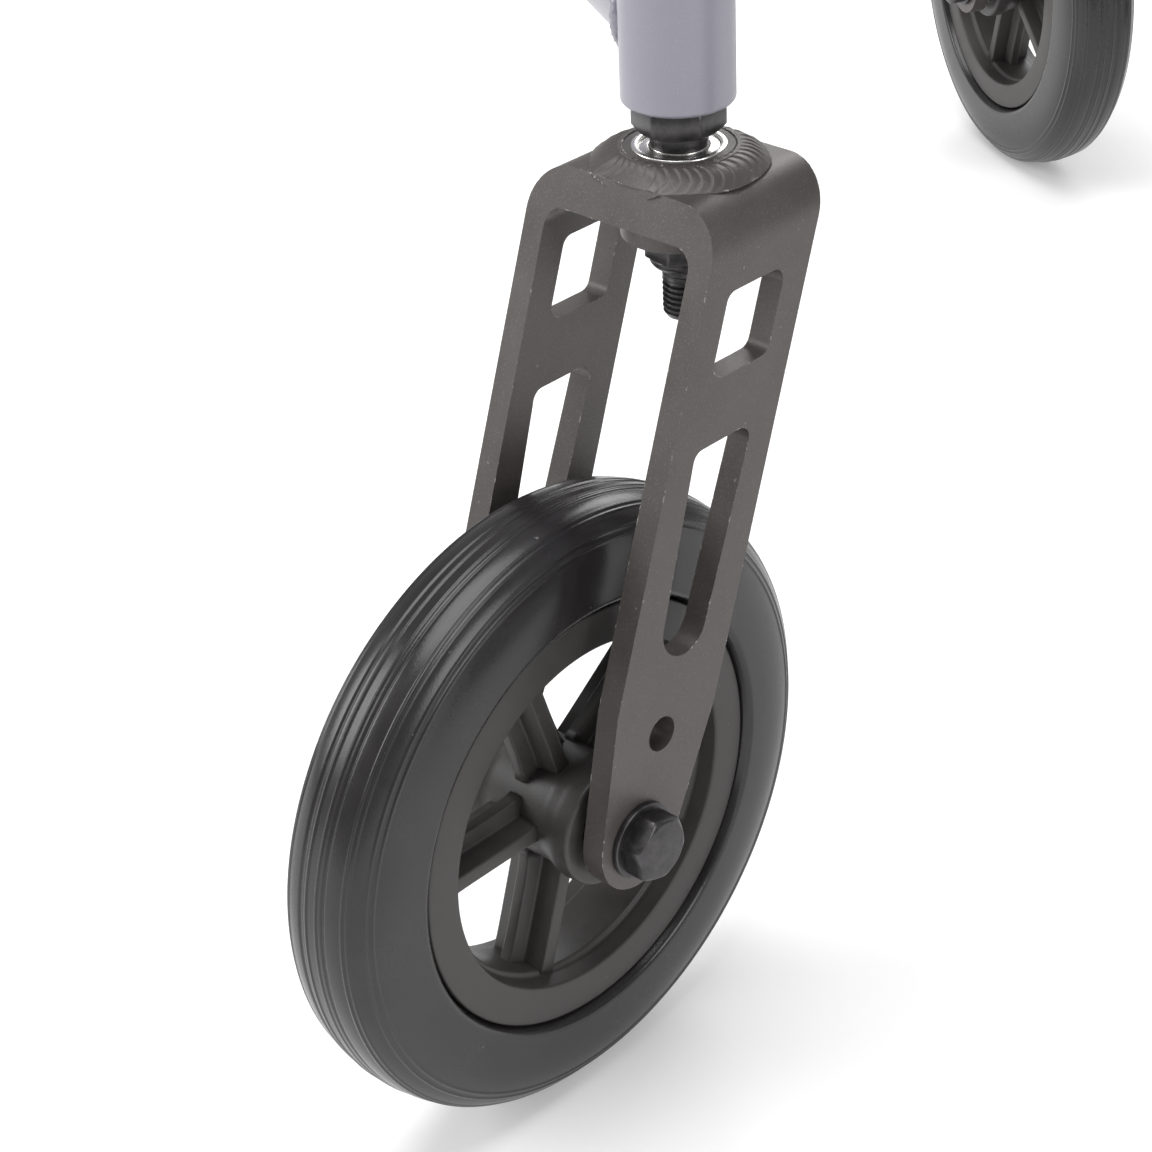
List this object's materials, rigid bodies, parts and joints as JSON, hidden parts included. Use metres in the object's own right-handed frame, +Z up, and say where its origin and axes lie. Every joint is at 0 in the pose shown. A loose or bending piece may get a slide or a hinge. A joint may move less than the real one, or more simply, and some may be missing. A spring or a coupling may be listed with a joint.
{
  "type": "knee scooter",
  "caption": "Knee scooter on four forked swivel casters, with a padded knee rest and a folding handlebar column.",
  "frame": {"origin": "on the floor under the middle of the scooter", "axes": "+Z up, forward is -Y, the rider's left is +X"},
  "size_m": [0.5826, 0.9591, 1.0015],
  "materials": {
    "bearing_steel": "bright ground steel",
    "board_plastic": "textured moulded",
    "cap_plastic": "matt moulded",
    "clamp_black": "satin black coat",
    "dark_steel": "black phosphated",
    "fork_black": "fine satin black coat",
    "frame_paint": "satin lavender grey coat",
    "grip_rubber": "soft matt",
    "lever_black": "satin moulded",
    "pad_cover": "grained black vinyl",
    "pin_steel": "zinc plated",
    "plain_tube": "satin anodised",
    "tyre": "satin rubber",
    "wheel_plastic": "matt moulded"
  },
  "bodies": {
    "frame": {"caster_studs": "dark_steel", "lock_nuts": "dark_steel", "leg_caps": "cap_plastic", "front_left_leg": "frame_paint", "front_right_leg": "frame_paint", "rear_left_leg": "frame_paint", "rear_right_leg": "frame_paint", "left_rail": "frame_paint", "right_rail": "frame_paint", "front_cross_tube": "frame_paint", "rear_cross_tube": "frame_paint", "spine": "frame_paint", "post_socket": "frame_paint", "post_clamp": "clamp_black", "hinge_base": "clamp_black", "hinge_pin": "pin_steel"},
    "front_left_caster": {"front_left_fork": "fork_black", "front_left_swivel_bearings": "bearing_steel", "front_left_axle_bolt": "dark_steel", "front_left_axle_spacers": "bearing_steel", "front_left_axle_nut": "dark_steel"},
    "front_left_wheel": {"front_left_tyre": "tyre", "front_left_rim": "wheel_plastic", "front_left_hub_bearings": "bearing_steel"},
    "rear_left_caster": {"rear_left_fork": "fork_black", "rear_left_swivel_bearings": "bearing_steel", "rear_left_axle": "dark_steel"},
    "rear_left_wheel": {"rear_left_tyre": "tyre", "rear_left_rim": "wheel_plastic", "rear_left_hub_bearings": "bearing_steel"},
    "front_right_caster": {"front_right_fork": "fork_black", "front_right_swivel_bearings": "bearing_steel", "front_right_axle_bolt": "dark_steel", "front_right_axle_spacers": "bearing_steel", "front_right_axle_nut": "dark_steel"},
    "front_right_wheel": {"front_right_tyre": "tyre", "front_right_rim": "wheel_plastic", "front_right_hub_bearings": "bearing_steel"},
    "rear_right_caster": {"rear_right_fork": "fork_black", "rear_right_swivel_bearings": "bearing_steel", "rear_right_axle": "dark_steel"},
    "rear_right_wheel": {"rear_right_tyre": "tyre", "rear_right_rim": "wheel_plastic", "rear_right_hub_bearings": "bearing_steel"},
    "column": {"column_tube": "frame_paint", "column_clamp": "clamp_black"},
    "steerer": {"steerer_tube": "plain_tube", "handlebar": "plain_tube", "left_grip": "grip_rubber", "right_grip": "grip_rubber"},
    "column_lever": {"column_clamp_lever": "lever_black"},
    "post_lever": {"post_clamp_lever": "lever_black"},
    "fold_lever": {"hinge_lever": "lever_black"},
    "knee_pad": {"pad_post": "plain_tube", "pad_board": "board_plastic", "pad_cushion": "pad_cover", "pad_screws": "dark_steel"}
  },
  "joints": [
    {"name": "front_left_swivel", "type": "hinge", "parent": "frame", "child": "front_left_caster", "pos_m": [0.185, -0.3263, 0.28], "axis": [0, 0, 1], "continuous": true},
    {"name": "front_left_wheel_spin", "type": "hinge", "parent": "front_left_caster", "child": "front_left_wheel", "pos_m": [0.21089, -0.38516, 0.1], "axis": [0.9154, 0.4026, 0], "continuous": true},
    {"name": "rear_left_swivel", "type": "hinge", "parent": "frame", "child": "rear_left_caster", "pos_m": [0.185, 0.3421, 0.28], "axis": [0, 0, 1], "continuous": true},
    {"name": "rear_left_wheel_spin", "type": "hinge", "parent": "rear_left_caster", "child": "rear_left_wheel", "pos_m": [0.22316, 0.39386, 0.1], "axis": [-0.8049, 0.5934, 0], "continuous": true},
    {"name": "front_right_swivel", "type": "hinge", "parent": "frame", "child": "front_right_caster", "pos_m": [-0.185, -0.3263, 0.28], "axis": [0, 0, 1], "continuous": true},
    {"name": "front_right_wheel_spin", "type": "hinge", "parent": "front_right_caster", "child": "front_right_wheel", "pos_m": [-0.21089, -0.38516, 0.1], "axis": [0.9154, -0.4026, 0], "continuous": true},
    {"name": "rear_right_swivel", "type": "hinge", "parent": "frame", "child": "rear_right_caster", "pos_m": [-0.185, 0.3421, 0.28], "axis": [0, 0, 1], "continuous": true},
    {"name": "rear_right_wheel_spin", "type": "hinge", "parent": "rear_right_caster", "child": "rear_right_wheel", "pos_m": [-0.22316, 0.39386, 0.1], "axis": [-0.8049, -0.5934, 0], "continuous": true},
    {"name": "column_fold", "type": "hinge", "parent": "frame", "child": "column", "pos_m": [0, -0.3263, 0.428], "axis": [1, 0, 0], "range_deg": [0, 88]},
    {"name": "bar_height", "type": "slide", "parent": "column", "child": "steerer", "axis": [0, 0, 1], "range_m": [-0.06, 0.1]},
    {"name": "pad_height", "type": "slide", "parent": "frame", "child": "knee_pad", "axis": [0, 0, 1], "range_m": [0, 0.09]},
    {"name": "column_clamp_open", "type": "hinge", "parent": "column", "child": "column_lever", "pos_m": [0.0135, -0.2943, 0.738], "axis": [1, 0, 0], "range_deg": [0, 110]},
    {"name": "post_clamp_open", "type": "hinge", "parent": "frame", "child": "post_lever", "pos_m": [0.0225, 0.1133, 0.424], "axis": [1, 0, 0], "range_deg": [0, 110]},
    {"name": "fold_lever_open", "type": "hinge", "parent": "frame", "child": "fold_lever", "pos_m": [0.0295, -0.3263, 0.428], "axis": [1, 0, 0], "range_deg": [0, 100]}
  ]
}
